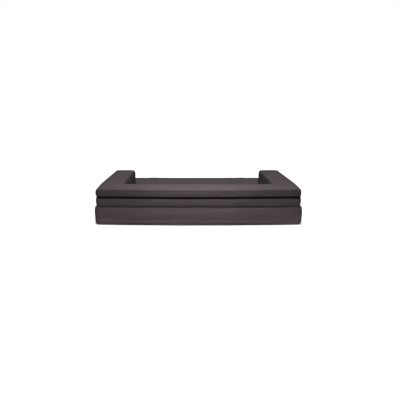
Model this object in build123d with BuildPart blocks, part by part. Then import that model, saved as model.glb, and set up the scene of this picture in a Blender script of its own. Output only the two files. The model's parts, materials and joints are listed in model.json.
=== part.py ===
"""Three-sided bolster bed in soft foam: a thick sleeping base and a U-shaped bolster on top of it.

Millimetres. The origin is on the floor under the middle of the bed, +X runs along the bed,
+Z is up, the back bolster lies towards -Y and the open entrance faces +Y.
Local planes named "face" have their x along the zip, their y across it and their z outwards.
"""
import os

from build123d import *

# Overall size
bed_length = 1200.0
bed_depth = 900.0
bed_height = 210.0

# Levels: base, hook and loop strips, bolster
base_top = 107.0
foam_joint_level = 68.0
strip_thickness = 0.9
strip_gap = 0.3
bolster_bottom = base_top + 2 * strip_thickness + strip_gap
zip_level = 160.2

# Footprint: the long back edge bows outwards between its two corners
front_bow = 22.0
corner_radius = 26.0
upper_inset = 10.0

# Edge roundings of the sewn covers
base_edge_radius = 13.0
base_floor_radius = 5.0
bolster_top_radius = 15.0
bolster_bottom_radius = 4.0

# Bolster: a back and two arms of one width, mitred at the corners; the arms stop short of the entrance
arm_width = 142.0
arm_end_y = 205.0
mitre_foam_gap = 0.5
mitre_seam_gap = 0.1

# Cloth, liner and the space between a cover and its filling
cover_thickness = 1.6
liner_thickness = 0.5
filling_gap = 0.4
zip_room = 5.0
bottom_panel_inset = 7.0
bottom_panel_gap = 0.2

# Hook and loop strips between base and bolster, one along the back and one under each arm
strip_width = 50.0
back_strip_length = 860.0
arm_strip_length = 360.0

# Zip chain, measured from the outer face of its tape
row_gap = 1.0
row_height = 2.4
row_thickness = 1.4
tape_thickness = 0.6
tape_height = 10.0
stop_length = 3.0
slot_half_height = 4.0

# Slider: two plates joined by a thin web that runs between the two rows
slider_length = 12.0
slider_width = 7.2
plate_thickness = 1.1
plate_clearance = 0.3
web_thickness = 0.5
pin_height = 4.2
pin_radius = 0.6
pin_hole_radius = 0.66
knuckle_radius = 1.25
lug_inner = 2.5
lug_outer = 3.4
lug_half_length = 1.4

# Pull tab
tab_length = 26.0
tab_width = 4.6
tab_end_width = 6.0
tab_thickness = 1.2
tab_hole_radius = 1.5

# Zip that opens the bolster's cover, in a groove along the back and both sides
groove_depth = 6.0
bolster_tape_depth = 3.4
slit_half_height = 1.5
groove_end_margin = 16.0
bolster_slider_margin = 12.0

# Zip that closes the base cover, on the entrance side
base_zip_level = 30.0
base_zip_half_length = 520.0
slider_end_margin = 10.0

# The pull tab of the base zip is the outermost point of the entrance side
knuckle_stand_out = pin_height + knuckle_radius - cover_thickness
front_corner_y = -bed_depth / 2 + front_bow
rear_y = bed_depth / 2 - knuckle_stand_out
upper_half_length = bed_length / 2 - upper_inset
inner_corner_x = upper_half_length - arm_width
upper_front_corner_y = front_corner_y + upper_inset
inner_corner_y = upper_front_corner_y + arm_width
groove_end_y = arm_end_y - groove_end_margin


def footprint(level, inset, rear_inset):
    """Outline of one layer at a level, drawn in by inset, and by rear_inset at the entrance."""
    half_length = bed_length / 2 - inset
    front_y = front_corner_y + inset
    back_y = rear_y - rear_inset
    bow = front_bow * (half_length / (bed_length / 2)) ** 2
    with BuildSketch(Plane.XY.offset(level)) as plan:
        with BuildLine():
            ThreePointArc((-half_length, front_y), (0, front_y - bow), (half_length, front_y))
            Polyline((half_length, front_y), (half_length, back_y), (-half_length, back_y), (-half_length, front_y))
        make_face()
        fillet(plan.vertices(), max(corner_radius - inset, 6))
    return plan.sketch


def slab(low, high, inset, rear_inset, low_radius, high_radius):
    """A flat cushion between two levels with rounded lower and upper edges."""
    with BuildPart() as body:
        extrude(footprint(low, inset, rear_inset), amount=high - low)
        fillet(body.faces().sort_by(Axis.Z)[-1].edges(), high_radius)
        fillet(body.faces().sort_by(Axis.Z)[0].edges(), low_radius)
    return body.part


def groove_band(low, height, outer_inset, inner_inset, end_y=groove_end_y):
    """A band that follows the back and both sides, and stops at end_y."""
    with BuildSketch(Plane.XY.offset(low)) as band:
        add(footprint(low, outer_inset, 0))
        add(footprint(low, inner_inset, -bed_depth), mode=Mode.SUBTRACT)
        with Locations((0, end_y + bed_depth / 2)):
            Rectangle(2 * bed_length, bed_depth, mode=Mode.SUBTRACT)
    with BuildPart() as ring:
        extrude(band.sketch, amount=height)
    return ring.part


def base_solid(shrink, rear_shrink):
    """The base block, drawn in by shrink on every face."""
    low_radius = max(base_floor_radius - shrink, 2)
    return slab(shrink, base_top - shrink, shrink, rear_shrink, low_radius, base_edge_radius - shrink)


def bolster_solid(shrink):
    """The whole U-shaped bolster, drawn in by shrink, with the groove that its zip lies in."""
    low = bolster_bottom + shrink
    high = bed_height - shrink
    inset = upper_inset + shrink
    with BuildSketch(Plane.XY.offset(low)) as plan:
        add(footprint(low, inset, rear_y - arm_end_y + shrink))
        with Locations((0, inner_corner_y - shrink)):
            Rectangle(
                2 * (inner_corner_x + shrink),
                bed_depth,
                align=(Align.CENTER, Align.MIN),
                mode=Mode.SUBTRACT,
            )
    with BuildPart() as body:
        extrude(plan.sketch, amount=high - low)
        fillet(body.faces().sort_by(Axis.Z)[-1].edges(), bolster_top_radius - shrink)
        fillet(body.faces().sort_by(Axis.Z)[0].edges(), max(bolster_bottom_radius - shrink, 1))
        add(
            groove_band(
                zip_level - slot_half_height - shrink,
                2 * (slot_half_height + shrink),
                0,
                upper_inset + groove_depth + shrink,
                groove_end_y + shrink,
            ),
            mode=Mode.SUBTRACT,
        )
    return body.part


def mitre_point(side, reach):
    """A point on the mitre line of one side: 0 is the inner corner, 1 the outer corner."""
    x = inner_corner_x + reach * (upper_half_length - inner_corner_x)
    y = inner_corner_y + reach * (upper_front_corner_y - inner_corner_y)
    return (side * x, y)


def back_region(gap):
    """Prism that holds the back section, between the two mitre planes."""
    with BuildSketch() as region:
        with BuildLine():
            Polyline(mitre_point(-1, 3), mitre_point(1, 3), mitre_point(1, -1), mitre_point(-1, -1), close=True)
        make_face()
        offset(amount=-gap, kind=Kind.INTERSECTION)
    with BuildPart() as prism:
        extrude(region.sketch, amount=bed_height)
    return prism.part


def arm_region(side, gap):
    """Prism that holds one arm section, outside its mitre plane."""
    with BuildSketch() as region:
        with BuildLine():
            Polyline(
                mitre_point(side, 3),
                mitre_point(side, -1),
                (mitre_point(side, -1)[0], bed_depth),
                (side * bed_length, bed_depth),
                (side * bed_length, mitre_point(side, 3)[1]),
                close=True,
            )
        make_face()
        offset(amount=-gap, kind=Kind.INTERSECTION)
    with BuildPart() as prism:
        extrude(region.sketch, amount=bed_height)
    return prism.part


def save(piece, label):
    """Name a finished piece and write it to its own file."""
    piece.label = label
    export_step(piece, f"parts/{label}.step")


def make_base():
    """Two layers of foam, their waterproof liner, the fabric cover and its non-slip bottom panel."""
    liner_shrink = cover_thickness + filling_gap
    liner_room = zip_room + liner_thickness
    foam_whole = base_solid(liner_shrink + liner_thickness + filling_gap, liner_room + filling_gap)
    for name, side in (("support", Align.MAX), ("comfort", Align.MIN)):
        with BuildPart() as foam:
            add(foam_whole)
            with Locations((0, 0, foam_joint_level)):
                Box(
                    2 * bed_length,
                    2 * bed_depth,
                    bed_height,
                    align=(Align.CENTER, Align.CENTER, side),
                    mode=Mode.INTERSECT,
                )
        save(foam.part, f"base_{name}_foam")

    with BuildPart() as liner:
        add(base_solid(liner_shrink, zip_room))
        add(base_solid(liner_shrink + liner_thickness, liner_room), mode=Mode.SUBTRACT)
    save(liner.part, "base_liner")

    with BuildPart() as cover:
        add(base_solid(0, 0))
        add(base_solid(cover_thickness, cover_thickness), mode=Mode.SUBTRACT)
        extrude(footprint(0, bottom_panel_inset, bottom_panel_inset), amount=cover_thickness, mode=Mode.SUBTRACT)
        extrude(base_zip_slot(), amount=-cover_thickness, mode=Mode.SUBTRACT)
    save(cover.part, "base_cover")

    panel_inset = bottom_panel_inset + bottom_panel_gap
    with BuildPart() as panel:
        extrude(footprint(0, panel_inset, panel_inset), amount=cover_thickness)
    save(panel.part, "base_bottom_panel")


def make_bolster():
    """Three foam bolsters, and the three mitred sections of the cover that joins them into a U."""
    foam_whole = bolster_solid(cover_thickness + filling_gap)
    groove_floor = upper_inset + groove_depth
    with BuildPart() as shell:
        add(bolster_solid(0))
        add(bolster_solid(cover_thickness), mode=Mode.SUBTRACT)
        add(
            groove_band(
                zip_level - slit_half_height,
                2 * slit_half_height,
                groove_floor,
                groove_floor + cover_thickness,
            ),
            mode=Mode.SUBTRACT,
        )
    sections = {
        "back_bolster": back_region,
        "left_arm": lambda gap: arm_region(-1, gap),
        "right_arm": lambda gap: arm_region(1, gap),
    }
    for name, region in sections.items():
        with BuildPart() as foam:
            add(foam_whole)
            add(region(mitre_foam_gap), mode=Mode.INTERSECT)
        save(foam.part, f"{name}_foam")
        with BuildPart() as cover:
            add(shell.part)
            add(region(mitre_seam_gap), mode=Mode.INTERSECT)
        save(cover.part, f"{name}_cover")


def make_strips():
    """Hook strips on the base and loop strips under the bolster, one above the other."""
    back_y = (upper_front_corner_y + inner_corner_y) / 2
    arm_x = (upper_half_length + inner_corner_x) / 2
    arm_y = (inner_corner_y + arm_end_y) / 2
    for label, level in (("base_hook_strips", base_top), ("bolster_loop_strips", bolster_bottom - strip_thickness)):
        with BuildPart() as strips:
            with BuildSketch(Plane.XY.offset(level)):
                with Locations((0, back_y)):
                    Rectangle(back_strip_length, strip_width)
                with Locations((-arm_x, arm_y), (arm_x, arm_y)):
                    Rectangle(strip_width, arm_strip_length)
            extrude(amount=strip_thickness)
        save(strips.part, label)


def base_zip_slot():
    """Outline of the long slot for the zip in the entrance-side wall of the base cover."""
    slot_face = Plane(origin=(0, rear_y, base_zip_level), x_dir=(1, 0, 0), z_dir=(0, 1, 0))
    with BuildSketch(slot_face) as slot:
        Rectangle(2 * (base_zip_half_length + stop_length), 2 * slot_half_height)
    return slot.sketch


def base_zip():
    """Tape halves, teeth rows, end stops, slider and pull of the straight zip on the entrance side."""
    face = Plane(origin=(0, rear_y - cover_thickness, base_zip_level), x_dir=(1, 0, 0), z_dir=(0, 1, 0))
    full_length = 2 * (base_zip_half_length + stop_length)
    with BuildPart() as tape:
        with BuildSketch(face):
            with Locations((0, (row_gap + tape_height) / 2), (0, -(row_gap + tape_height) / 2)):
                Rectangle(full_length, tape_height)
        extrude(amount=-tape_thickness)
    save(tape.part, "base_zip_tape")

    with BuildPart() as teeth:
        with BuildSketch(face):
            with Locations((0, (row_gap + row_height) / 2), (0, -(row_gap + row_height) / 2)):
                Rectangle(2 * base_zip_half_length, row_height)
        extrude(amount=row_thickness)
    save(teeth.part, "base_zip_teeth")

    stop_x = base_zip_half_length + stop_length / 2
    with BuildPart() as stops:
        with BuildSketch(face):
            with Locations((stop_x, 0), (-stop_x, 0)):
                Rectangle(stop_length, row_gap + 2 * row_height)
        extrude(amount=row_thickness)
    save(stops.part, "base_zip_stops")

    slider_x = base_zip_half_length - slider_end_margin
    slider_face = Plane(origin=(slider_x, face.origin.Y, base_zip_level), x_dir=(-1, 0, 0), z_dir=(0, 1, 0))
    save(slider_body(slider_face), "base_zip_slider")
    save(pull_tab(slider_face), "base_zip_pull")


def bolster_zip():
    """The two halves of the long zip in the bolster's groove, and its slider and pull."""
    tape_outer = upper_inset + bolster_tape_depth
    row_outer = tape_outer - row_thickness
    strip_rise = slot_half_height - row_gap / 2
    halves = {
        "upper": (zip_level + row_gap / 2, zip_level + row_gap / 2),
        "lower": (zip_level - slot_half_height, zip_level - row_gap / 2 - row_height),
    }
    stop_face_y = groove_end_y - stop_length
    for half, (tape_low, row_low) in halves.items():
        tape = groove_band(tape_low, strip_rise, tape_outer, tape_outer + tape_thickness)
        save(tape, f"bolster_zip_{half}_tape")
        save(groove_band(row_low, row_height, row_outer, tape_outer, stop_face_y), f"bolster_zip_{half}_teeth")

        stop_x = bed_length / 2 - row_outer - row_thickness / 2
        with BuildPart() as stops:
            with BuildSketch(Plane.XY.offset(row_low)):
                with Locations((stop_x, stop_face_y), (-stop_x, stop_face_y)):
                    Rectangle(row_thickness, stop_length, align=(Align.CENTER, Align.MIN))
            extrude(amount=row_height)
        save(stops.part, f"bolster_zip_{half}_stops")

    slider_y = stop_face_y - bolster_slider_margin
    face_x = bed_length / 2 - tape_outer
    slider_face = Plane(origin=(face_x, slider_y, zip_level), x_dir=(0, -1, 0), z_dir=(1, 0, 0))
    save(slider_body(slider_face), "bolster_zip_slider")
    save(pull_tab(slider_face), "bolster_zip_pull")


def slider_body(face):
    """Slider in one casting: front and back plate, the web between the rows, two lugs and their pin."""
    front_low = row_thickness + plate_clearance
    front_high = front_low + plate_thickness
    back_high = -tape_thickness - plate_clearance
    lug_middle = (lug_inner + lug_outer) / 2
    with BuildPart() as slider:
        with BuildSketch(face.offset(front_low)):
            RectangleRounded(slider_length, slider_width, 2)
        extrude(amount=plate_thickness)
        with BuildSketch(face.offset(back_high)):
            RectangleRounded(slider_length, slider_width, 2)
        extrude(amount=-plate_thickness)
        with BuildSketch(face.offset(back_high)):
            Rectangle(slider_length - 4, web_thickness)
        extrude(amount=front_low - back_high)
        with BuildSketch(face.offset(front_high)):
            with Locations((0, lug_middle), (0, -lug_middle)):
                Rectangle(2 * lug_half_length, lug_outer - lug_inner)
        extrude(amount=pin_height - front_high + knuckle_radius - 0.2)
        pin_plane = Plane(origin=face.origin + face.z_dir * pin_height, x_dir=face.x_dir, z_dir=face.y_dir)
        with BuildSketch(pin_plane.offset(-lug_middle)):
            Circle(pin_radius)
        extrude(amount=2 * lug_middle)
    return slider.part


def pull_tab(face):
    """Flat tab with a rounded end and a hole, turning on the slider's pin."""
    pin_plane = Plane(origin=face.origin + face.z_dir * pin_height, x_dir=face.x_dir, z_dir=face.y_dir)
    with BuildPart() as tab:
        with BuildSketch(face.offset(pin_height - tab_thickness / 2)):
            with BuildLine():
                Polyline((0, -tab_width / 2), (tab_length - tab_end_width / 2, -tab_end_width / 2))
                ThreePointArc(
                    (tab_length - tab_end_width / 2, -tab_end_width / 2),
                    (tab_length, 0),
                    (tab_length - tab_end_width / 2, tab_end_width / 2),
                )
                Polyline((tab_length - tab_end_width / 2, tab_end_width / 2), (0, tab_width / 2), (0, -tab_width / 2))
            make_face()
            with Locations((tab_length - tab_end_width / 2, 0)):
                Circle(tab_hole_radius, mode=Mode.SUBTRACT)
        extrude(amount=tab_thickness)
        with BuildSketch(pin_plane.offset(-tab_width / 2)):
            Circle(knuckle_radius)
        extrude(amount=tab_width)
        with BuildSketch(pin_plane.offset(-tab_width / 2)):
            Circle(pin_hole_radius)
        extrude(amount=tab_width, mode=Mode.SUBTRACT)
    return tab.part


os.makedirs("parts", exist_ok=True)
make_base()
make_strips()
make_bolster()
base_zip()
bolster_zip()
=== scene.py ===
"""Looks of the three-sided bolster bed: sewn fabric cushions, zips, materials, light and camera.

Metres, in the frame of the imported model: +X along the bed, +Z up, back bolster towards -Y.
Wall profiles, and the levels and depths that they use, are in millimetres.
"""
import json
import math

import bpy
import numpy as np
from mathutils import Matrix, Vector, noise


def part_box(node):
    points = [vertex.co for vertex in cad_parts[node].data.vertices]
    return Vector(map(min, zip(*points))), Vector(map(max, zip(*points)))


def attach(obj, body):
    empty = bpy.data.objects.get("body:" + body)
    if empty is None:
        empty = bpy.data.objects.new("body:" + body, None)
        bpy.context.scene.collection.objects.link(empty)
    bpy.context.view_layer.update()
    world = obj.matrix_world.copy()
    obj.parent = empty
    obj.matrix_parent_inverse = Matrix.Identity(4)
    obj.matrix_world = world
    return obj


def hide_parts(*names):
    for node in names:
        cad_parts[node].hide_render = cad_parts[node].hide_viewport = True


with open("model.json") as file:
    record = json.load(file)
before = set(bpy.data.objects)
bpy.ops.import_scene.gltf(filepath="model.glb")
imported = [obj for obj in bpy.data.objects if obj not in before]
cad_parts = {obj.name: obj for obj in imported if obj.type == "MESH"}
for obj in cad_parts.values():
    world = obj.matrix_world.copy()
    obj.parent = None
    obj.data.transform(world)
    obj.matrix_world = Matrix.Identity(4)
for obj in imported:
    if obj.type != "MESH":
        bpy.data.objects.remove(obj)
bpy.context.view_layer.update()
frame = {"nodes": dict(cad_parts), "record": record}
nodes = frame["nodes"]
MM = 0.001

# ---------------------------------------------------------------- driving dimensions

base_low, base_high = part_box("base_cover")
back_low, back_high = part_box("back_bolster_cover")
arm_low, arm_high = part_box("left_arm_cover")

# Plan, in metres
front_bow = 22 * MM
corner_radius = 26 * MM
bolster_corner_radius = 16 * MM
inner_corner_radius = 9 * MM
base_half = base_high.x
base_front_y = base_low.y + front_bow
base_rear_y = base_high.y
bolster_half = -arm_low.x
arm_width = arm_high.x - arm_low.x
arm_end_y = arm_high.y
inner_half = bolster_half - arm_width
inner_edge_y = back_high.y
bolster_bow = front_bow * (bolster_half / base_half) ** 2
bolster_front_y = back_low.y + bolster_bow
groove_end_y = arm_end_y - 16 * MM
base_zip_end = 523 * MM
grid_step_x = 12 * MM
grid_step_y = 13 * MM

# Levels, radii and depths of the wall profiles, in millimetres
base_top = base_high.z / MM
bolster_bottom = back_low.z / MM
bolster_top = back_high.z / MM
zip_level = 160.2
base_zip_level = 30.0
base_zip_reach = 5.5
base_trough_depth = 4.4
base_floor_radius = 7.0
base_edge_radius = 13.0
bolster_lower_radius = 5.0
bolster_edge_radius = 15.0
lower_edge_top = 115
upper_edge_start = 192
wave_depth_base = 1.6
wave_depth_bolster = 1.5

# Crowns of the two cushions, in metres
base_crown = 5.0 * MM
bolster_crown = 3.4 * MM

# ---------------------------------------------------------------- grid helpers

CORNER_SHARES = (1 / 3, 2 / 3, 1.0)


def axis_lines(low, high, radius, spacing, extra=()):
    """Grid lines along one axis as (core position, share of the corner radius)."""
    first, last = low + radius, high - radius
    count = max(2, round((last - first) / spacing))
    regular = [first + (last - first) * k / count for k in range(count + 1)]
    kept = [c for c in regular if all(abs(c - e) > 0.4 * spacing for e in extra)]
    cores = sorted({first, last, *kept, *extra})
    lines = [(first, -share) for share in reversed(CORNER_SHARES)]
    lines += [(c, 0.0) for c in cores]
    lines += [(last, share) for share in CORNER_SHARES]
    return lines


def corner_offset(tx, ty, reach, squareness=0.0):
    """Where a grid point near a corner sits, measured from the corner's centre."""
    length = math.hypot(tx, ty)
    if length == 0:
        return 0.0, 0.0
    round_scale = reach * max(abs(tx), abs(ty)) / length
    scale = round_scale + (reach - round_scale) * squareness
    return tx * scale, ty * scale


def drawn_in(share, shift):
    """How far a line near a corner moves when the corner's centre is pushed inwards."""
    return 0.0 if share == 0 else -math.copysign(shift, share)


def rounded_plan(lines_x, lines_y, radius):
    """Plan position of grid point (i, j) of a rounded rectangle drawn in by an inset."""
    def plan(i, j, inset):
        (cx, tx), (cy, ty) = lines_x[i], lines_y[j]
        reach = max(radius - inset, 3 * MM)
        shift = inset + reach - radius
        ox, oy = corner_offset(tx, ty, reach)
        return cx + ox + drawn_in(tx, shift), cy + oy + drawn_in(ty, shift)
    return plan


def perimeter(count_i, count_j):
    """Grid points round the edge of a count_i by count_j grid, in order."""
    loop = [(i, 0) for i in range(count_i)]
    loop += [(count_i - 1, j) for j in range(1, count_j)]
    loop += [(i, count_j - 1) for i in range(count_i - 2, -1, -1)]
    loop += [(0, j) for j in range(count_j - 2, 0, -1)]
    return loop


class Shell:
    """A closed cushion mesh: stacked rings round the wall, and a grid on the top and the bottom."""

    def __init__(self, count_i, count_j, ring_count):
        self.count_i, self.count_j, self.ring_count = count_i, count_j, ring_count
        self.loop = perimeter(count_i, count_j)
        self.at = {point: p for p, point in enumerate(self.loop)}
        self.inner = [(i, j) for i in range(1, count_i - 1) for j in range(1, count_j - 1)]
        self.inner_at = {point: p for p, point in enumerate(self.inner)}
        self.verts = []

    def ring_vertex(self, ring, point):
        return ring * len(self.loop) + self.at[point]

    def ring_vertices(self, ring):
        return [ring * len(self.loop) + p for p in range(len(self.loop))]

    def grid_vertex(self, side, i, j):
        """Vertex on the bottom (side 0) or top (side 1) grid."""
        if (i, j) in self.at:
            return self.ring_vertex((self.ring_count - 1) * side, (i, j))
        start = self.ring_count * len(self.loop) + side * len(self.inner)
        return start + self.inner_at[(i, j)]

    def nearest_edge(self, i, j):
        """The edge point whose inset and height a face point starts from."""
        gaps = {
            (i, 0): j,
            (i, self.count_j - 1): self.count_j - 1 - j,
            (0, j): i,
            (self.count_i - 1, j): self.count_i - 1 - i,
        }
        return min(gaps, key=gaps.get)

    def fill(self, plan, ring_point, face_height):
        """Work out every vertex from the plan, the wall profile and the face heights."""
        edge = {}
        for ring in range(self.ring_count):
            for i, j in self.loop:
                inset, z = ring_point(ring, i, j)
                edge[(ring, i, j)] = (inset, z)
                self.verts.append((*plan(i, j, inset), z))
        for side, ring in ((0, 0), (1, self.ring_count - 1)):
            for i, j in self.inner:
                inset, z = edge[(ring, *self.nearest_edge(i, j))]
                x, y = plan(i, j, inset)
                self.verts.append((x, y, face_height(side, i, j, x, y, z)))

    def faces(self):
        size = len(self.loop)
        quads = []
        for ring in range(self.ring_count - 1):
            low, high = ring * size, (ring + 1) * size
            for p in range(size):
                q = (p + 1) % size
                quads.append((low + p, low + q, high + q, high + p))
        for side in (0, 1):
            for i in range(self.count_i - 1):
                for j in range(self.count_j - 1):
                    quad = [(i, j), (i + 1, j), (i + 1, j + 1), (i, j + 1)]
                    if side == 0:
                        quad.reverse()
                    quads.append(tuple(self.grid_vertex(side, *point) for point in quad))
        return quads


def mesh_object(name, verts, faces, smooth=True):
    mesh = bpy.data.meshes.new(name)
    mesh.from_pydata([tuple(v) for v in verts], [], faces)
    mesh.validate()
    mesh.update()
    if smooth:
        mesh.shade_smooth()
    obj = bpy.data.objects.new(name, mesh)
    bpy.context.scene.collection.objects.link(obj)
    return obj


def waviness(x, y, z, size, seed):
    """Smooth noise, mostly within 0.5 either way, with features of about the given size."""
    return noise.noise(Vector((x / size + seed, y / size - seed, z / size + 0.5 * seed)))


def smooth_step(value):
    t = min(1.0, max(0.0, value))
    return t * t * (3 - 2 * t)


def bowed(x, y, half, front_y, rear_y, bow):
    """Push the back edge outwards, most in the middle, and leave rear_y where it is."""
    share = min(1.0, max(0.0, (rear_y - y) / (rear_y - front_y)))
    return y - bow * (1 - (x / half) ** 2) * share


def rounded_edge(z_edge, radius, direction, angles):
    """(inset, height) rows of a rounded edge; direction +1 for an upper edge, -1 for a lower one."""
    rows = []
    for angle in angles:
        a = math.radians(angle)
        rows.append((radius * (1 - math.cos(a)), z_edge - direction * radius * (1 - math.sin(a))))
    return rows


def tagged(rows, tag=""):
    return [(inset, z, tag) for inset, z in rows]


def seam_pucker(x, y, z, depth):
    """Small gathers beside a seam."""
    return depth * (waviness(x, y, z, 0.021, 41) + 0.6 * waviness(x, y, z, 0.047, 43))


# ---------------------------------------------------------------- base cushion

def make_base():
    """The thick sleeping base, flat under the bolster and slightly crowned where it is open."""
    zip_lines = (-base_zip_end, base_zip_end)
    lines_x = axis_lines(-base_half, base_half, corner_radius, grid_step_x, zip_lines)
    lines_y = axis_lines(base_front_y, base_rear_y, corner_radius, grid_step_y)
    plan = rounded_plan(lines_x, lines_y, corner_radius)
    level = base_zip_level
    rows = tagged([(7.6, 1.8), (7.1, 1.7), (6.6, 0.4), (6.0, 0.0)])
    rows += tagged(rounded_edge(0, base_floor_radius, -1, (70, 45, 22, 0)))
    rows += [(-0.3, 8.6, ""), (0.2, 9.8, "beside"), (1.3, 10.7, "seam"), (0.1, 11.6, "beside")]
    rows += tagged([(-0.8, 13.5), (-1.2, 17), (-1.4, 21), (-1.2, level - 5), (-0.2, level - 4.2)])
    rows += [(0.2, level - 3.7, "trough"), (0.2, level, "trough"), (0.2, level + 3.7, "trough")]
    rows += tagged([(-0.2, level + 4.2), (-1.2, level + 5), (-2.0, 42), (-2.4, 50), (-2.6, 58)])
    rows += tagged([(-2.6, 66), (-2.3, 74), (-1.9, 81), (-1.2, 87), (-0.3, 92.0)])
    angles = (8, 19, 30, 40, 49, 53, 57, 66, 77, 90)
    upper = rounded_edge(base_top - 0.05, base_edge_radius, 1, angles)
    rows += tagged(upper[:4])
    rows += [(*upper[4], "beside"), (upper[5][0] + 0.9, upper[5][1] - 0.9, "seam"), (*upper[6], "beside")]
    # Painted shade on the inner part of the base's rounded top edge: under the bolster's foot and along
    # the open edges.
    rows += tagged(upper[7:], "painted_shade")
    shell = Shell(len(lines_x), len(lines_y), len(rows))
    last_j = len(lines_y) - 1

    def ring_point(ring, i, j):
        inset, z, tag = rows[ring]
        x, y = plan(i, j, 0)
        at_zip = j == last_j and abs(x) < base_zip_end + 1 * MM
        near_zip = abs(z - level) < base_zip_reach
        if at_zip and tag == "trough":
            inset = base_trough_depth
        elif at_zip and near_zip:
            inset = max(inset, 0)
        elif near_zip:
            inset = -1.6
        if tag == "beside" and not at_zip:
            inset += seam_pucker(x, y, z * MM, 0.7)
        if 13 < z < 90 and not at_zip:
            inset -= wave_depth_base * waviness(x, y, z * MM, 0.12, 3)
        return inset * MM, z * MM

    def face_height(side, i, j, x, y, z):
        if side == 0:
            return z
        well = min(inner_half - abs(x), y - inner_edge_y)
        ledge = y - arm_end_y
        gap = min(max(well, ledge), base_rear_y - y, base_half - abs(x))
        rise = base_crown * smooth_step(gap / (50 * MM))
        return z + rise + 1.0 * MM * waviness(x, y, 0, 0.15, 5) * smooth_step(gap / (40 * MM))

    shell.fill(plan, ring_point, face_height)
    verts = [
        (x, bowed(x, y, base_half, base_front_y, base_rear_y, front_bow), z)
        for x, y, z in shell.verts
    ]
    held = set()
    for ring, (inset, z, tag) in enumerate(rows):
        if z < 12 or tag in ("seam", "beside", "trough") or abs(z - level) < base_zip_reach:
            held.update(shell.ring_vertices(ring))
    for number, (x, y, z) in enumerate(verts):
        resting = z < 3 * MM or (z > (base_top - 1) * MM and under_bolster(x, y))
        if resting:
            held.add(number)
    cushion = mesh_object("base_cushion", verts, shell.faces())
    return cushion, shell, rows, held


def under_bolster(x, y):
    in_outline = abs(x) < bolster_half + 2 * MM and y < arm_end_y + 2 * MM
    in_well = abs(x) < inner_half - 4 * MM and y > inner_edge_y + 4 * MM
    return in_outline and not in_well


# ---------------------------------------------------------------- bolster cushion

MITRE_ANGLES = (0, 15, 30, 45, 60, 75, 90)
MITRE_SEAM_ANGLE = 45
INNER_END_SQUARENESS = 0.95


def bolster_stations():
    """Stations along the U from the left arm's end, round the back, to the right arm's end."""
    full_groove_y = groove_end_y - 2.5 * MM
    extra = (full_groove_y,)
    lines = axis_lines(bolster_front_y, arm_end_y, bolster_corner_radius, grid_step_y, extra)
    arm = [line for line in reversed(lines) if line[1] >= 0 and line[0] > inner_edge_y + 14 * MM]
    arm.append((inner_edge_y + 11 * MM, 0.0))
    reach = inner_half - inner_corner_radius - 7 * MM
    stations = [("arm", -1, core, share) for core, share in arm]
    stations += [("mitre", -1, angle, 0.0) for angle in MITRE_ANGLES]
    stations += [("back", 0, x, 0.0) for x in np.linspace(-reach, reach, 74)]
    stations += [("mitre", 1, angle, 0.0) for angle in reversed(MITRE_ANGLES)]
    stations += [("arm", 1, core, share) for core, share in reversed(arm)]
    return stations


def wall_point(station, side, inset):
    """Point on the bolster's outer (side 0) or inner (side 1) outline at a station."""
    kind, hand, place, share = station
    if kind == "arm":
        x = bolster_half - inset if side == 0 else inner_half + inset
        return hand * x, place
    if kind == "back":
        if side == 0:
            spread = (bolster_half - bolster_corner_radius) / (inner_half - inner_corner_radius)
            return place * spread, bolster_front_y + inset
        return place, inner_edge_y - inset
    angle = math.radians(place)
    if side == 0:
        reach = max(bolster_corner_radius - inset, 3 * MM)
        cx = bolster_half - inset - reach
        cy = bolster_front_y + inset + reach
    else:
        reach = inner_corner_radius + inset
        cx = inner_half - inner_corner_radius
        cy = inner_edge_y + inner_corner_radius
    return hand * (cx + reach * math.cos(angle)), cy - reach * math.sin(angle)


def bolster_plan(stations, across):
    """Plan position of grid point (i, j) of the U, drawn in by an inset."""
    radius = bolster_corner_radius

    def plan(i, j, inset):
        station = stations[i]
        kind, hand, place, share = station
        core, side_share = across[j]
        reach = max(radius - inset, 3 * MM)
        shift = inset + reach - radius
        if share:
            squareness = INNER_END_SQUARENESS if side_share > 0 else 0.0
            ox, oy = corner_offset(side_share, share, reach, squareness)
            u = core + ox + drawn_in(side_share, shift)
            return hand * (bolster_half - u), place + oy - shift
        offset = side_share * reach + drawn_in(side_share, shift)
        fraction = (core + offset - inset) / (arm_width - 2 * inset)
        ax, ay = wall_point(station, 0, inset)
        bx, by = wall_point(station, 1, inset)
        return ax + (bx - ax) * fraction, ay + (by - ay) * fraction
    return plan


def bow_bolster(x, y):
    return bowed(x, y, bolster_half, bolster_front_y, inner_edge_y, bolster_bow)


def arm_swell(y):
    """How far the outer side of an arm fills out: most just behind the mitre, nothing at its ends."""
    share = (y - bolster_front_y) / (arm_end_y - bolster_front_y)
    return smooth_step(share / 0.2) * smooth_step((1 - share) / 0.75)


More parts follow.
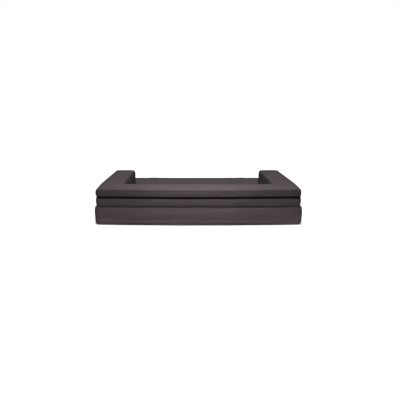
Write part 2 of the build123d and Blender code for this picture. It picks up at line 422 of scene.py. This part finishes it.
def make_bolster():
    """The U of back and arms in one cover, with mitre seams at the corners and a zip groove outside."""
    across = axis_lines(0, arm_width, bolster_corner_radius, grid_step_x)
    stations = bolster_stations()
    plan = bolster_plan(stations, across)
    edge_top = bolster_top - 0.5
    level = zip_level
    groove = {
        level - 7.6: (-0.6, level - 7.6),
        level - 6.4: (-0.3, level - 6.9),
        level - 5.2: (0.3, level - 6.2),
        level - 4.2: (1.8, level - 5.7),
        level - 3.2: (5.6, level - 5.4),
        level - 2.2: (6.3, level - 4.9),
        level: (6.3, level),
        level + 2.2: (6.3, level + 4.9),
        level + 3.2: (5.6, level + 5.4),
        level + 4.2: (1.8, level + 5.7),
        level + 5.2: (0.3, level + 6.2),
        level + 6.4: (-0.3, level + 6.9),
        level + 7.6: (-0.6, level + 7.6),
    }
    angles = (90, 72, 60, 52, 44, 28, 10)
    lower = rounded_edge(bolster_bottom + 0.05, bolster_lower_radius, -1, angles)
    angles = (4, 12, 16, 20, 30, 41, 52, 63, 74, 84)
    upper = rounded_edge(edge_top, bolster_edge_radius, 1, angles)
    # Painted shade on the underside of the bolster's lower edge.
    rows = tagged(lower[:2], "painted_shade")
    rows += [(*lower[2], "beside"), (lower[3][0] + 0.7, lower[3][1] + 0.7, "seam"), (*lower[4], "beside")]
    rows += tagged(lower[5:])
    rows += tagged([(-0.7, 118), (-1.3, 123), (-1.8, 129), (-2.0, 135), (-1.8, 141), (-1.0, 147)])
    rows += tagged([(-0.3, z) for z in groove], "groove")
    rows += tagged([(-0.9, 171), (-1.4, 176), (-1.6, 181), (-1.3, 187), (-0.7, 191.5)])
    rows += tagged(upper[:1])
    rows += [(*upper[1], "beside"), (upper[2][0] + 1.1, upper[2][1] - 0.3, "seam"), (*upper[3], "beside")]
    # Painted shade on the middle of the bolster's rounded top edge.
    rows += tagged(upper[4:8], "edge") + tagged(upper[8:])
    shell = Shell(len(stations), len(across), len(rows))

    def ring_point(ring, i, j):
        inset, z, tag = rows[ring]
        kind, hand, place, share = stations[i]
        x, y = plan(i, j, 0)
        outer = j == 0 and not (kind == "arm" and place > groove_end_y - 1 * MM)
        if tag == "groove":
            if outer:
                inset, z = groove[z]
            else:
                inset = -1.0
        if tag == "beside":
            inset += seam_pucker(x, y, z * MM, 0.8)
        if tag == "" and 117 < z < upper_edge_start:
            inset -= wave_depth_bolster * waviness(x, y, z * MM, 0.11, 13)
        if z > upper_edge_start:
            z += 0.5 * waviness(x, y, 0, 0.14, 17) + 0.15
        if z > zip_level + 8 and kind == "arm" and j == 0:
            swell = arm_swell(place) * smooth_step((z - zip_level - 8) / 16)
            inset -= 4.5 * swell
            z += 2.2 * swell
        return inset * MM, z * MM

    def face_height(side, i, j, x, y, z):
        if side == 0:
            return z
        kind, hand, place, share = stations[i]
        core, side_share = across[j]
        fraction = (core + side_share * bolster_corner_radius) / arm_width
        gap = min(fraction, 1 - fraction) * arm_width - bolster_edge_radius * MM
        if kind == "arm":
            gap = min(gap, arm_end_y - y - bolster_edge_radius * MM)
        rise = bolster_crown * (1 - (1 - min(1, max(0, gap / (50 * MM)))) ** 2)
        in_mitre = kind == "mitre" and place == MITRE_SEAM_ANGLE
        return z + rise - (1.4 * MM if in_mitre else 0)

    shell.fill(plan, ring_point, face_height)
    verts = [(x, bow_bolster(x, y), z) for x, y, z in shell.verts]
    held = set()
    for ring, (inset, z, tag) in enumerate(rows):
        if tag in ("seam", "beside", "groove") or z < lower_edge_top:
            held.update(shell.ring_vertices(ring))
    held.update(number for number, v in enumerate(verts) if v[2] < lower_edge_top * MM)
    mitre_lines = []
    for i, station in enumerate(stations):
        if station[0] == "mitre" and station[2] == MITRE_SEAM_ANGLE:
            line = [shell.grid_vertex(1, i, j) for j in range(len(across))]
            held.update(line)
            mitre_lines.append(line)
    cushion = mesh_object("bolster_cushion", verts, shell.faces())
    return cushion, shell, rows, held, mitre_lines, stations


# ---------------------------------------------------------------- filling and sewing

FILL_FRAMES = 20
FILL_PRESSURE = 4.0
FILL_CAP = 5 * MM


def inflate(obj, held):
    """Blow the cover up like a filled cushion; seams, zips and resting faces stay where they are.

    Only the outward part of each move is kept, so that no cover is drawn in past its foam.
    """
    scene = bpy.context.scene
    mesh = obj.data
    before = np.empty(len(mesh.vertices) * 3)
    mesh.vertices.foreach_get("co", before)
    group = obj.vertex_groups.new(name="held")
    group.add(sorted(held), 1.0, "REPLACE")
    cloth = obj.modifiers.new("filling", "CLOTH")
    settings = cloth.settings
    settings.quality = 6
    settings.mass = 0.35
    settings.tension_stiffness = 22
    settings.compression_stiffness = 22
    settings.shear_stiffness = 8
    settings.bending_stiffness = 1.5
    settings.tension_damping = 12
    settings.compression_damping = 12
    settings.use_pressure = True
    settings.uniform_pressure_force = FILL_PRESSURE
    settings.vertex_group_mass = group.name
    settings.shrink_min = -0.006
    settings.effector_weights.gravity = 0
    cloth.collision_settings.use_collision = False
    cloth.collision_settings.use_self_collision = False
    cloth.point_cache.frame_start = 1
    cloth.point_cache.frame_end = FILL_FRAMES
    scene.frame_start = 1
    scene.frame_end = FILL_FRAMES
    for number in range(1, FILL_FRAMES + 1):
        scene.frame_set(number)
    evaluated = obj.evaluated_get(bpy.context.evaluated_depsgraph_get())
    after = np.empty(len(mesh.vertices) * 3)
    evaluated.data.vertices.foreach_get("co", after)
    move = (after - before).reshape(-1, 3)
    normals = np.empty(len(mesh.vertices) * 3)
    mesh.vertices.foreach_get("normal", normals)
    normals = normals.reshape(-1, 3)
    outward = np.sum(move * normals, axis=1)
    move = normals * np.maximum(outward, 0)[:, None]
    length = np.linalg.norm(move, axis=1)
    kept = np.minimum(length, FILL_CAP * np.tanh(length / FILL_CAP)) / np.maximum(length, 1e-9)
    final = before.reshape(-1, 3) + move * kept[:, None]
    obj.modifiers.remove(cloth)
    obj.vertex_groups.remove(group)
    scene.frame_set(1)
    mesh.vertices.foreach_set("co", final.ravel())
    mesh.update()


def mark_point_values(obj, name, values):
    """Store one number per vertex for the fabric to read."""
    layer = obj.data.attributes.new(name, "FLOAT", "POINT")
    layer.data.foreach_set("value", values)


# How dark the fabric is drawn on each kind of row, from 0 to 1. Seam rows get a dark seam line with
# painted shade in its hollow; the rows beside a seam get painted shade in its gathers; the base's inner
# top-edge rows, the bolster's under-edge rows and its rounded top-edge rows get painted shade only.
SEAM_SHADE = {"seam": 1.0, "painted_shade": 0.7, "beside": 0.45, "edge": 0.3}


def mark_seams_and_painted_shade(obj, shell, rows, lines=()):
    """Store where the seams run and where shade is painted, and add a smoothing subdivision."""
    values = np.zeros(len(obj.data.vertices))
    for ring, (inset, z, tag) in enumerate(rows):
        if tag in SEAM_SHADE:
            values[shell.ring_vertices(ring)] = SEAM_SHADE[tag]
    for line in lines:
        values[line] = 1.0
    mark_point_values(obj, "seam", values)
    smoothing = obj.modifiers.new("smoothing", "SUBSURF")
    smoothing.levels = 1
    smoothing.render_levels = 1


def mark_grooves(obj, shell, rows, deep):
    """Paint shade into the zip groove and trough: their sunk vertices get the darkest seam value."""
    layer = obj.data.attributes["seam"]
    for ring, (inset, z, tag) in enumerate(rows):
        if tag in ("groove", "trough"):
            for point, vertex in zip(shell.loop, shell.ring_vertices(ring)):
                if deep(point, ring):
                    layer.data[vertex].value = 1.0


def surface_points(obj, vertices):
    """Points and normals of some of an object's own vertices on its subdivided surface."""
    bpy.context.view_layer.update()
    evaluated = obj.evaluated_get(bpy.context.evaluated_depsgraph_get())
    mesh = evaluated.data
    return [(Vector(mesh.vertices[v].co), Vector(mesh.vertices[v].normal)) for v in vertices]


def spaced(points, pitch, closed):
    """Evenly spaced (position, direction, normal) along a line of (position, normal) points."""
    ring = points + points[:1] if closed else points
    found = []
    travelled, due = 0.0, 0.5 * pitch
    for (a, na), (b, nb) in zip(ring, ring[1:]):
        step = (b - a).length
        if step < 1e-7:
            continue
        direction = (b - a) / step
        while due <= travelled + step:
            share = (due - travelled) / step
            found.append((a.lerp(b, share), direction, na.lerp(nb, share).normalized()))
            due += pitch
        travelled += step
    return found


STITCH_PITCH = 7.0 * MM
STITCH_SIDES = 6
# Rings along one stitch as (place along it, radius, lift off the cloth), in millimetres
STITCH_SECTIONS = (
    (-2.3, 0.25, -0.25),
    (-1.5, 0.52, 0.12),
    (0.0, 0.6, 0.3),
    (1.5, 0.52, 0.12),
    (2.3, 0.25, -0.25),
)


def add_stitches(name, points, closed, body):
    """A row of thread stitches, each one a thin bead that dips into the cloth at both ends."""
    verts, faces = [], []
    for centre, along, normal in spaced(points, STITCH_PITCH, closed):
        side = along.cross(normal).normalized()
        start = len(verts)
        for place, radius, lift in STITCH_SECTIONS:
            middle = centre + along * place * MM + normal * lift * MM
            for k in range(STITCH_SIDES):
                a = 2 * math.pi * k / STITCH_SIDES
                verts.append(middle + (side * math.cos(a) + normal * math.sin(a)) * radius * MM)
        for section in range(len(STITCH_SECTIONS) - 1):
            for k in range(STITCH_SIDES):
                q = (k + 1) % STITCH_SIDES
                low = start + section * STITCH_SIDES
                high = low + STITCH_SIDES
                faces.append((low + k, low + q, high + q, high + k))
        last = start + (len(STITCH_SECTIONS) - 1) * STITCH_SIDES
        faces.append(tuple(start + k for k in reversed(range(STITCH_SIDES))))
        faces.append(tuple(last + k for k in range(STITCH_SIDES)))
    row = mesh_object(name, verts, faces)
    row.data.materials.append(materials["thread"])
    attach(row, body)


# ---------------------------------------------------------------- materials

class Paint:
    """A node material built step by step round one Principled shader."""

    def __init__(self, name, roughness, **constants):
        self.material = bpy.data.materials.new(name)
        self.material.use_nodes = True
        self.tree = self.material.node_tree
        self.shader = self.tree.nodes["Principled BSDF"]
        self.shader.inputs["Roughness"].default_value = roughness
        for key, value in constants.items():
            self.shader.inputs[key.replace("_", " ")].default_value = value
        self.place = self.add("ShaderNodeTexCoord").outputs["Object"]

    def add(self, kind, **settings):
        node = self.tree.nodes.new(kind)
        for key, value in settings.items():
            setattr(node, key, value)
        return node

    def feed(self, socket, value):
        if isinstance(value, bpy.types.NodeSocket):
            self.tree.links.new(value, socket)
        else:
            socket.default_value = value

    def math(self, operation, *values):
        node = self.add("ShaderNodeMath", operation=operation)
        for socket, value in zip(node.inputs, values):
            self.feed(socket, value)
        return node.outputs[0]

    def scaled(self, sx, sy, sz):
        """The object's own coordinates, stretched along each axis."""
        node = self.add("ShaderNodeMapping")
        self.feed(node.inputs["Vector"], self.place)
        node.inputs["Scale"].default_value = (sx, sy, sz)
        return node.outputs[0]

    def noise(self, coordinates, detail=3.0, roughness=0.55):
        node = self.add("ShaderNodeTexNoise")
        self.feed(node.inputs["Vector"], coordinates)
        node.inputs["Scale"].default_value = 1.0
        node.inputs["Detail"].default_value = detail
        node.inputs["Roughness"].default_value = roughness
        return node.outputs["Fac"]

    def mix(self, share, first, second):
        node = self.add("ShaderNodeMix", data_type="RGBA")
        self.feed(node.inputs[0], share)
        self.feed(node.inputs[6], (*first, 1.0) if isinstance(first, tuple) else first)
        self.feed(node.inputs[7], (*second, 1.0) if isinstance(second, tuple) else second)
        return node.outputs[2]

    def spread(self, value, low, high):
        """Stretch a 0 to 1 noise so that low becomes 0 and high becomes 1."""
        node = self.add("ShaderNodeMapRange")
        self.feed(node.inputs["Value"], value)
        node.inputs["From Min"].default_value = low
        node.inputs["From Max"].default_value = high
        return node.outputs[0]

    def woven(self, period):
        """Height of a plain weave on any face: crossing sine threads, picked by the face's direction."""
        position = self.add("ShaderNodeSeparateXYZ")
        self.feed(position.inputs[0], self.place)
        facing = self.add("ShaderNodeSeparateXYZ")
        self.feed(facing.inputs[0], self.add("ShaderNodeNewGeometry").outputs["Normal"])
        threads = [
            self.math("SINE", self.math("MULTIPLY", output, 2 * math.pi / period))
            for output in position.outputs
        ]
        total = None
        for axis in range(3):
            u, v = threads[(axis + 1) % 3], threads[(axis + 2) % 3]
            share = self.math("MULTIPLY", facing.outputs[axis], facing.outputs[axis])
            layer = self.math("MULTIPLY", self.math("MULTIPLY", u, v), share)
            total = layer if total is None else self.math("ADD", total, layer)
        return total

    def bump(self, height, distance, strength=1.0, below=None):
        node = self.add("ShaderNodeBump")
        self.feed(node.inputs["Height"], height)
        node.inputs["Distance"].default_value = distance
        node.inputs["Strength"].default_value = strength
        if below is not None:
            self.feed(node.inputs["Normal"], below)
        return node.outputs[0]

    def finish(self, color, normal=None, roughness=None):
        self.feed(self.shader.inputs["Base Color"], color)
        if normal is not None:
            self.feed(self.shader.inputs["Normal"], normal)
        if roughness is not None:
            self.feed(self.shader.inputs["Roughness"], roughness)
        return self.material


def cover_fabric():
    """Dark brown woven cloth: slubs along the bed, faint mottling and dark seam lines, with painted shade
    in seam hollows, on side faces and on the arms.
    """
    shine = {"Sheen_Weight": 0.01, "Sheen_Roughness": 0.5, "Specular_IOR_Level": 0.05, "IOR": 1.3}
    paint = Paint("cover_fabric_weave", 0.9, **shine)
    slubs = paint.spread(paint.noise(paint.scaled(7, 95, 130), 4.0, 0.6), 0.3, 0.7)
    patches = paint.spread(paint.noise(paint.scaled(5, 6, 9), 2.0), 0.3, 0.7)
    yarn = paint.noise(paint.scaled(520, 640, 640), 2.0)
    tone = paint.math("ADD", paint.math("MULTIPLY", slubs, 0.5), paint.math("MULTIPLY", patches, 0.25))
    tone = paint.math("ADD", tone, paint.math("MULTIPLY", yarn, 0.25))
    color = paint.mix(tone, (0.0154, 0.0120, 0.0124), (0.0275, 0.0215, 0.0221))
    # Painted shade: the seam value draws dark seam lines and paints shade into seam hollows, zip grooves,
    # under edges and the rounded top edge.
    seams_and_painted_shade = paint.add("ShaderNodeAttribute", attribute_name="seam").outputs["Fac"]
    seams_and_painted_shade = paint.math("MULTIPLY", paint.spread(seams_and_painted_shade, 0.1, 0.9), 0.85)
    color = paint.mix(seams_and_painted_shade, color, (0.003, 0.0024, 0.0026))
    # Painted shade: the arms are drawn 5% darker.
    arm_shade_share = paint.add("ShaderNodeAttribute", attribute_name="arm_painted_shade").outputs["Fac"]
    color = paint.mix(paint.math("MULTIPLY", arm_shade_share, 0.05), color, (0.0, 0.0, 0.0))
    # Painted shade: faces turned along X, the ends and the arms' sides, are drawn up to 44% darker.
    across = paint.add("ShaderNodeSeparateXYZ")
    paint.feed(across.inputs[0], paint.add("ShaderNodeNewGeometry").outputs["Normal"])
    side_painted_shade = paint.spread(paint.math("ABSOLUTE", across.outputs[0]), 0.6, 0.95)
    color = paint.mix(paint.math("MULTIPLY", side_painted_shade, 0.44), color, (0.0, 0.0, 0.0))
    wrinkles = paint.bump(paint.noise(paint.scaled(28, 45, 45), 3.0), 0.0022, 0.5)
    threads = paint.bump(paint.woven(1.7 * MM), 0.00022, 0.8, wrinkles)
    rough = paint.math("ADD", paint.math("MULTIPLY", patches, 0.08), 0.84)
    return paint.finish(color, threads, rough)


def thread():
    paint = Paint("cover_thread", 0.8, Sheen_Weight=0.02, Specular_IOR_Level=0.1)
    twist = paint.noise(paint.scaled(900, 900, 900), 2.0)
    color = paint.mix(twist, (0.012, 0.0095, 0.0098), (0.03, 0.024, 0.0245))
    return paint.finish(color, paint.bump(twist, 0.0002, 0.6))


def bottom_fabric():
    """Black non-slip cloth with rows of small rubber dots."""
    paint = Paint("bottom_fabric_dots", 0.85, Specular_IOR_Level=0.2)
    position = paint.add("ShaderNodeSeparateXYZ")
    paint.feed(position.inputs[0], paint.place)
    waves = [
        paint.math("SINE", paint.math("MULTIPLY", position.outputs[axis], 2 * math.pi / (9 * MM)))
        for axis in (0, 1)
    ]
    dots = paint.spread(paint.math("MULTIPLY", waves[0], waves[1]), 0.45, 0.6)
    yarn = paint.noise(paint.scaled(700, 700, 700), 2.0)
    cloth = paint.mix(yarn, (0.008, 0.0075, 0.008), (0.016, 0.015, 0.016))
    color = paint.mix(dots, cloth, (0.004, 0.004, 0.004))
    rough = paint.math("SUBTRACT", 0.9, paint.math("MULTIPLY", dots, 0.4))
    return paint.finish(color, paint.bump(dots, 0.0006, 0.7), rough)


def foam(name, dark, light):
    """Open-cell foam with pores."""
    paint = Paint(name, 0.95)
    pores = paint.add("ShaderNodeTexVoronoi")
    paint.feed(pores.inputs["Vector"], paint.place)
    pores.inputs["Scale"].default_value = 420
    cells = pores.outputs["Distance"]
    blotches = paint.noise(paint.scaled(14, 14, 14), 4.0)
    color = paint.mix(blotches, dark, light)
    return paint.finish(color, paint.bump(cells, 0.0008, 0.6))


def liner_film():
    """Thin crinkled waterproof film."""
    paint = Paint("liner_film_crinkle", 0.35, Coat_Weight=0.2)
    crinkle = paint.noise(paint.scaled(38, 38, 38), 6.0, 0.65)
    color = paint.mix(crinkle, (0.26, 0.27, 0.28), (0.36, 0.37, 0.38))
    return paint.finish(color, paint.bump(crinkle, 0.003, 0.7))


def zip_tape():
    """Tightly woven black tape."""
    paint = Paint("zip_tape_weave", 0.9, Specular_IOR_Level=0.02)
    yarn = paint.noise(paint.scaled(500, 500, 500), 2.0)
    color = paint.mix(yarn, (0.0004, 0.0004, 0.0004), (0.0012, 0.0012, 0.0013))
    return paint.finish(color, paint.bump(paint.woven(0.9 * MM), 0.0002, 0.8))


def zip_teeth():
    """Black moulded plastic, scuffed."""
    paint = Paint("zip_teeth_plastic", 0.5, Specular_IOR_Level=0.03)
    scuffs = paint.noise(paint.scaled(240, 240, 240), 4.0)
    color = paint.mix(scuffs, (0.0005, 0.0005, 0.0005), (0.0016, 0.0016, 0.0017))
    rough = paint.math("ADD", 0.45, paint.math("MULTIPLY", scuffs, 0.3))
    return paint.finish(color, paint.bump(scuffs, 0.0001, 0.4), rough)


def zip_metal():
    """Dark painted metal, rubbed brighter on its edges."""
    paint = Paint("zip_metal_paint", 0.4, Coat_Weight=0.3, Metallic=0.6)
    worn = paint.spread(paint.add("ShaderNodeNewGeometry").outputs["Pointiness"], 0.52, 0.6)
    speckle = paint.spread(paint.noise(paint.scaled(300, 300, 300), 4.0), 0.4, 0.7)
    share = paint.math("MULTIPLY", worn, speckle)
    base = paint.mix(speckle, (0.006, 0.006, 0.0065), (0.012, 0.012, 0.013))
    color = paint.mix(share, base, (0.08, 0.078, 0.075))
    rough = paint.math("ADD", 0.3, paint.math("MULTIPLY", speckle, 0.2))
    return paint.finish(color, paint.bump(speckle, 0.0001, 0.3), rough)


def hook_loop():
    """Black hook and loop: dense fuzzy tufts."""
    paint = Paint("hook_loop_tufts", 0.95, Sheen_Weight=0.03, Specular_IOR_Level=0.1)
    tufts = paint.add("ShaderNodeTexVoronoi")
    paint.feed(tufts.inputs["Vector"], paint.place)
    tufts.inputs["Scale"].default_value = 650
    fuzz = paint.noise(paint.scaled(1100, 1100, 1100), 3.0)
    color = paint.mix(fuzz, (0.003, 0.003, 0.0033), (0.012, 0.012, 0.0125))
    return paint.finish(color, paint.bump(tufts.outputs["Distance"], 0.0012, 1.0))


materials = {
    "cover_fabric": cover_fabric(),
    "thread": thread(),
    "bottom_fabric": bottom_fabric(),
    "support_foam": foam("support_foam_cells", (0.24, 0.22, 0.16), (0.32, 0.30, 0.23)),
    "comfort_foam": foam("comfort_foam_cells", (0.17, 0.22, 0.25), (0.25, 0.30, 0.33)),
    "liner_film": liner_film(),
    "zip_tape": zip_tape(),
    "zip_teeth": zip_teeth(),
    "zip_metal": zip_metal(),
    "hook_loop": hook_loop(),
}

slots = {part["node"]: part["material_slot"] for part in frame["record"]["subparts"]}
for node_name, node in nodes.items():
    node.data.materials.clear()
    node.data.materials.append(materials[slots[node_name]])

# ---------------------------------------------------------------- cushions in place

base_cushion, base_shell, base_rows, base_held = make_base()
bolster_cushion, bolster_shell, bolster_rows, bolster_held, mitres, bolster_line = make_bolster()

inflate(base_cushion, base_held)
inflate(bolster_cushion, bolster_held)

mark_seams_and_painted_shade(base_cushion, base_shell, base_rows)
mark_seams_and_painted_shade(bolster_cushion, bolster_shell, bolster_rows, mitres)


def in_base_trough(point, ring):
    x, y, z = base_cushion.data.vertices[base_shell.ring_vertex(ring, point)].co
    return y > base_rear_y - 8 * MM and abs(x) < base_zip_end


def in_bolster_groove(point, ring):
    kind, hand, place, share = bolster_line[point[0]]
    sunk = abs(bolster_rows[ring][1] - zip_level) < 5.8
    return sunk and point[1] == 0 and not (kind == "arm" and place > groove_end_y - 1 * MM)


mark_grooves(base_cushion, base_shell, base_rows, in_base_trough)
mark_grooves(bolster_cushion, bolster_shell, bolster_rows, in_bolster_groove)

# Painted shade: mark the arms and the arm side of each mitre to be drawn darker.
arm_painted_shade = np.zeros(len(bolster_cushion.data.vertices))
for i, (kind, hand, place, share) in enumerate(bolster_line):
    if kind == "arm" or (kind == "mitre" and place < MITRE_SEAM_ANGLE):
        for j in range(bolster_shell.count_j):
            arm_painted_shade[bolster_shell.grid_vertex(1, i, j)] = 1.0
        for ring in range(bolster_shell.ring_count):
            for j in range(bolster_shell.count_j):
                if (i, j) in bolster_shell.at:
                    arm_painted_shade[bolster_shell.ring_vertex(ring, (i, j))] = 1.0
mark_point_values(bolster_cushion, "arm_painted_shade", arm_painted_shade)

for cushion, body in ((base_cushion, "base"), (bolster_cushion, "bolster")):
    cushion.data.materials.append(materials["cover_fabric"])
    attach(cushion, body)
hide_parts("base_cover")
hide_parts("back_bolster_cover", "left_arm_cover", "right_arm_cover")


def stitch_seams(cushion, shell, rows, body, steps):
    """One row of stitches beside each seam that runs round a cushion, some rings up or down from it."""
    seams = [ring for ring, row in enumerate(rows) if row[2] == "seam"]
    for number, (ring, step) in enumerate(zip(seams, steps)):
        points = surface_points(cushion, shell.ring_vertices(ring + step))
        add_stitches(f"{body}_stitches_{number}", points, True, body)


stitch_seams(base_cushion, base_shell, base_rows, "base", (-2, -2))
stitch_seams(bolster_cushion, bolster_shell, bolster_rows, "bolster", (3, -2))

# ---------------------------------------------------------------- zip teeth

TOOTH_PITCH = 2.6 * MM
TOOTH_THICKNESS = 1.4 * MM
TOOTH_TAPER = 0.85
# Outline of one tooth as (along the zip, away from the split), in millimetres
TOOTH_OUTLINE = (
    (-0.45, 3.0),
    (0.45, 3.0),
    (0.5, 1.3),
    (0.85, 0.5),
    (0.6, -0.35),
    (-0.6, -0.35),
    (-0.85, 0.5),
    (-0.5, 1.3),
)


def add_teeth(name, points, row_side, body, stands_for):
    """One row of moulded teeth; each head reaches over the split between two heads of the other row."""
    verts, faces = [], []
    count = len(TOOTH_OUTLINE)
    first = 0 if row_side > 0 else 1
    placed = spaced(points, TOOTH_PITCH / 2, False)[first::2]
    for centre, along, normal in placed:
        start = len(verts)
        up = Vector((0, 0, row_side))
        for depth in (-0.5, 0.5):
            shrink = TOOTH_TAPER if depth > 0 else 1.0
            for u, v in TOOTH_OUTLINE:
                flat = along * u * shrink * MM + up * v * MM
                verts.append(centre + flat + normal * depth * TOOTH_THICKNESS)
        for k in range(count):
            q = (k + 1) % count
            faces.append((start + k, start + q, start + count + q, start + count + k))
        faces.append(tuple(start + k for k in reversed(range(count))))
        faces.append(tuple(start + count + k for k in range(count)))
    row = mesh_object(name, verts, faces, False)
    row.data.materials.append(materials["zip_teeth"])
    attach(row, body)
    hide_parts(stands_for)


def bolster_zip_line(depth):
    """The line of the bolster's zip, drawn in by a depth, with outward normals."""
    end = groove_end_y - 4 * MM
    line = []
    for station in bolster_line:
        kind, hand, place, share = station
        if kind == "arm" and place > end:
            continue
        x, y = wall_point(station, 0, depth)
        ox, oy = wall_point(station, 0, 0)
        outward = Vector((ox - x, bow_bolster(ox, oy) - bow_bolster(x, y), 0)).normalized()
        line.append((Vector((x, bow_bolster(x, y), zip_level * MM)), outward))
    for spot, hand in ((0, -1), (len(line), 1)):
        last = Vector((hand * (bolster_half - depth), end, zip_level * MM))
        line.insert(spot, (last, Vector((hand, 0, 0))))
    return line


bolster_zip = bolster_zip_line(2.7 * MM)
base_zip_y = base_rear_y - 0.9 * MM
base_zip = [
    (Vector((x, base_zip_y, base_zip_level * MM)), Vector((0, 1, 0)))
    for x in (-base_zip_end + 4 * MM, base_zip_end - 4 * MM)
]
for side_name, row_side in (("upper", 1), ("lower", -1)):
    node_name = f"bolster_zip_{side_name}_teeth"
    add_teeth(f"{node_name}_row", bolster_zip, row_side, "bolster", node_name)
for side_name, row_side in (("upper", 1), ("lower", -1)):
    add_teeth(f"base_zip_{side_name}_teeth_row", base_zip, row_side, "base", "base_zip_teeth")

# ---------------------------------------------------------------- floor, light, camera

FLOOR_HALF = 20.0
FLOOR_GREY = 0.42
floor_corners = [(FLOOR_HALF * x, FLOOR_HALF * y, 0) for x, y in ((-1, -1), (1, -1), (1, 1), (-1, 1))]
floor = mesh_object("studio_floor", floor_corners, [(0, 1, 2, 3)], False)
floor.location.z = -0.5 * MM
floor_paint = Paint("studio_floor_paint", 0.9)
floor.data.materials.append(floor_paint.finish((FLOOR_GREY, FLOOR_GREY, FLOOR_GREY, 1.0)))
floor.visible_diffuse = False
floor.visible_glossy = False


def area_light(name, place, aim, size, power, spread=180):
    data = bpy.data.lights.new(name, "AREA")
    data.shape = "RECTANGLE"
    data.size, data.size_y = size
    data.energy = power
    data.spread = math.radians(spread)
    light = bpy.data.objects.new(name, data)
    light.location = place
    light.rotation_euler = (Vector(aim) - Vector(place)).to_track_quat("-Z", "Y").to_euler()
    bpy.context.scene.collection.objects.link(light)


sun_data = bpy.data.lights.new("ceiling_panel", "SUN")
sun_data.angle = math.radians(36)
sun_data.energy = 8.0
sun = bpy.data.objects.new("ceiling_panel", sun_data)
sun.rotation_euler = (math.radians(-12), 0, 0)
bpy.context.scene.collection.objects.link(sun)
area_light("front_softbox", (0, -0.76, 0.8), (0, -0.42, 0.18), (0.25, 0.25), 21.5)
area_light("low_front_fill", (0, -2.5, 0.3), (0, -0.45, 0.08), (1.4, 0.4), 38)
area_light("base_strip_light", (0, -2.3, 0.1), (0, -0.45, -0.03), (2.2, 0.06), 3.1, 14)

world = bpy.data.worlds.new("studio")
world.use_nodes = True
sky = world.node_tree
background = sky.nodes["Background"]
background.inputs["Color"].default_value = (0.24, 0.24, 0.24, 1)
seen = sky.nodes.new("ShaderNodeBackground")
seen.inputs["Color"].default_value = (1, 1, 1, 1)
chooser = sky.nodes.new("ShaderNodeMixShader")
sky.links.new(sky.nodes.new("ShaderNodeLightPath").outputs["Is Camera Ray"], chooser.inputs[0])
sky.links.new(background.outputs[0], chooser.inputs[1])
sky.links.new(seen.outputs[0], chooser.inputs[2])
sky.links.new(chooser.outputs[0], sky.nodes["World Output"].inputs["Surface"])
bpy.context.scene.world = world
bpy.context.scene.view_settings.view_transform = "Standard"

camera_data = bpy.data.cameras.new("camera")
camera_data.lens = 34.69
camera_data.sensor_width = 36
camera_data.shift_x = 0.0215
camera = bpy.data.objects.new("camera", camera_data)
camera.location = (-0.0407, -2.5578, 0.6947)
camera.rotation_euler = (math.radians(90 - 14.41), 0, 0)
bpy.context.scene.collection.objects.link(camera)
bpy.context.scene.camera = camera
